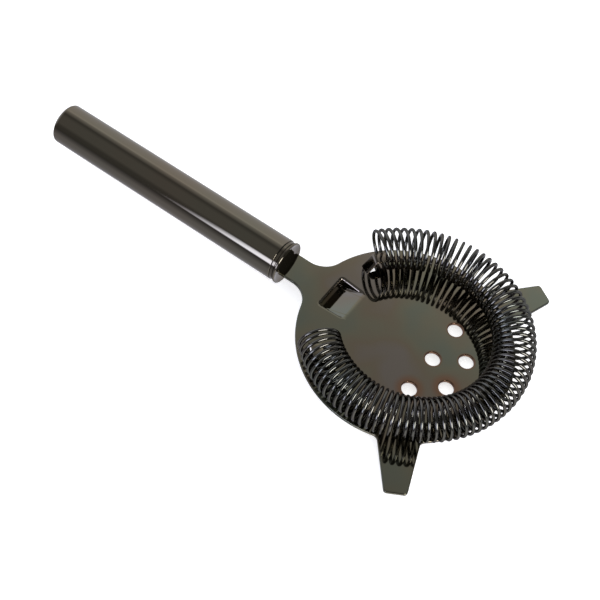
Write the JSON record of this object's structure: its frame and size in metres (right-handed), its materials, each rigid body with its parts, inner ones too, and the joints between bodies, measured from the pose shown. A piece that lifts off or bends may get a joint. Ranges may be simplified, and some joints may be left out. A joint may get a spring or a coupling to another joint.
{
  "type": "hawthorne strainer",
  "caption": "Flat round cocktail strainer with two side prongs, a perforated plate ringed by an open coil spring, a pressed finger rest and a round tube handle.",
  "frame": {"origin": "centre of the round plate, on its upper face, which is the side that carries the spring", "axes": "+X from the handle towards the front of the plate, +Z away from the plate on the spring's side, +Y towards the left prong"},
  "size_m": [0.1878, 0.0962, 0.0292],
  "materials": {
    "plate_black_chrome": "mirror-polished dark PVD-coated steel",
    "spring_wire": "dark PVD-coated drawn wire",
    "collar_black_chrome": "polished dark PVD-coated steel",
    "handle_black_chrome": "mirror-polished dark PVD-coated steel",
    "inner_steel": "bare turned steel"
  },
  "bodies": {
    "strainer": {"strainer_plate": "plate_black_chrome", "collar": "collar_black_chrome", "handle_tube": "handle_black_chrome", "end_cap": "handle_black_chrome", "tang_plug": "inner_steel"},
    "spring": {"coil_spring": "spring_wire"}
  },
  "joints": [
    {"name": "spring_squeeze", "type": "slide", "parent": "strainer", "child": "spring", "axis": [-1, 0, 0], "range_m": [0, 0.004], "stiffness_N_per_m": 300, "deforming": ["coil_spring"]}
  ]
}
